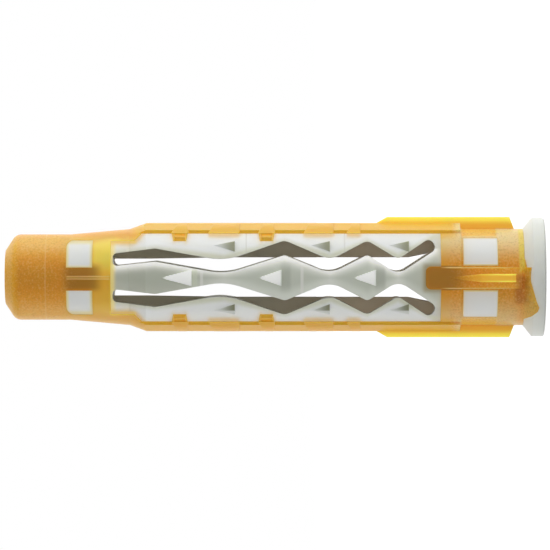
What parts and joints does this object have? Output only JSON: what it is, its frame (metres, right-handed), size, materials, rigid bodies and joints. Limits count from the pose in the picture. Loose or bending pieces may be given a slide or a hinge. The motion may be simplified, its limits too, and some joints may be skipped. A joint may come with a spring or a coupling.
{
  "type": "wall plug",
  "caption": "Two-component wall plug: a grey core with wavy, barbed legs that spread around a screw, held in a soft orange jacket with windows, fins and a slim nose.",
  "frame": {"origin": "centre of the collar's outer face, on the plug's axis", "axes": "+Z along the plug from the collar to the nose; -Y through the window seen in the picture, +X through the side strip at the top of the picture"},
  "size_m": [0.009, 0.009, 0.0399],
  "materials": {
    "hard_grey": "satin grey polyamide, slightly translucent",
    "soft_orange": "satin translucent orange elastomer"
  },
  "bodies": {
    "root": {"core": "hard_grey", "jacket": "soft_orange"}
  },
  "joints": []
}
